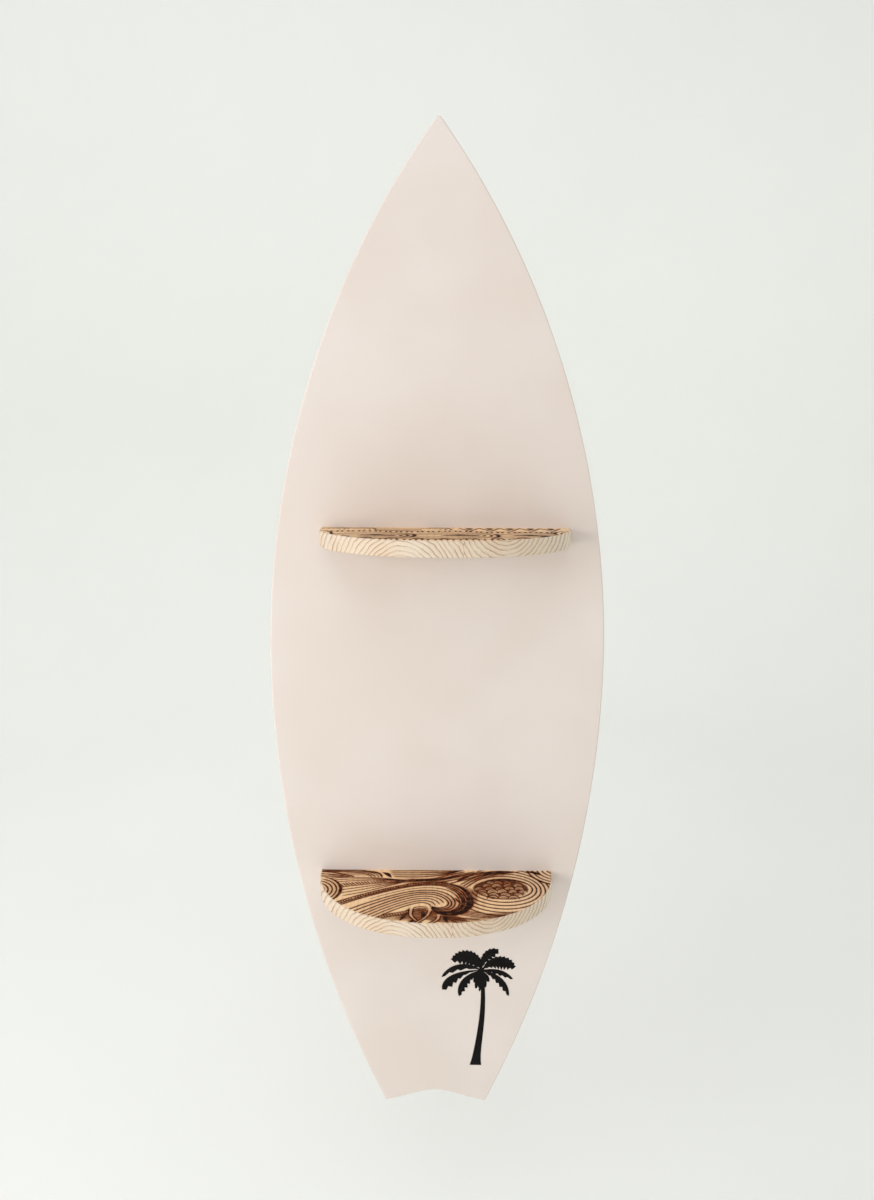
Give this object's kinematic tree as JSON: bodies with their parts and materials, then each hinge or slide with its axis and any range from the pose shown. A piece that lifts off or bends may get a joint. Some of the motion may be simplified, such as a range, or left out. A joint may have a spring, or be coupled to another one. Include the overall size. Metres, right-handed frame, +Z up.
{
  "type": "wall shelf",
  "caption": "Wall-hung display shelf: a flat painted board in a surfboard outline with half-round pine shelves, hung flush on keyhole plates.",
  "frame": {"origin": "midway between the two keyhole entries, on the board's back face, which is the wall's plane", "axes": "+X to the right as seen from the room, +Y into the wall, +Z up towards the nose"},
  "size_m": [0.398, 0.132, 1.1994],
  "materials": {
    "board_paint": "satin blush paint on board",
    "shelf_pine": "waxed pine with burned line pattern",
    "decal_vinyl": "matt black vinyl film",
    "screw_steel": "zinc plated",
    "dowel_beech": "bare beech",
    "plate_steel": "zinc plated, satin"
  },
  "bodies": {
    "root": {"board_panel": "board_paint", "upper_shelf": "shelf_pine", "lower_shelf": "shelf_pine", "palm_decal": "decal_vinyl", "upper_shelf_screws": "screw_steel", "lower_shelf_screws": "screw_steel", "upper_shelf_dowels": "dowel_beech", "lower_shelf_dowels": "dowel_beech", "left_keyhole_plate": "plate_steel", "right_keyhole_plate": "plate_steel", "keyhole_plate_screws": "screw_steel"}
  },
  "joints": []
}
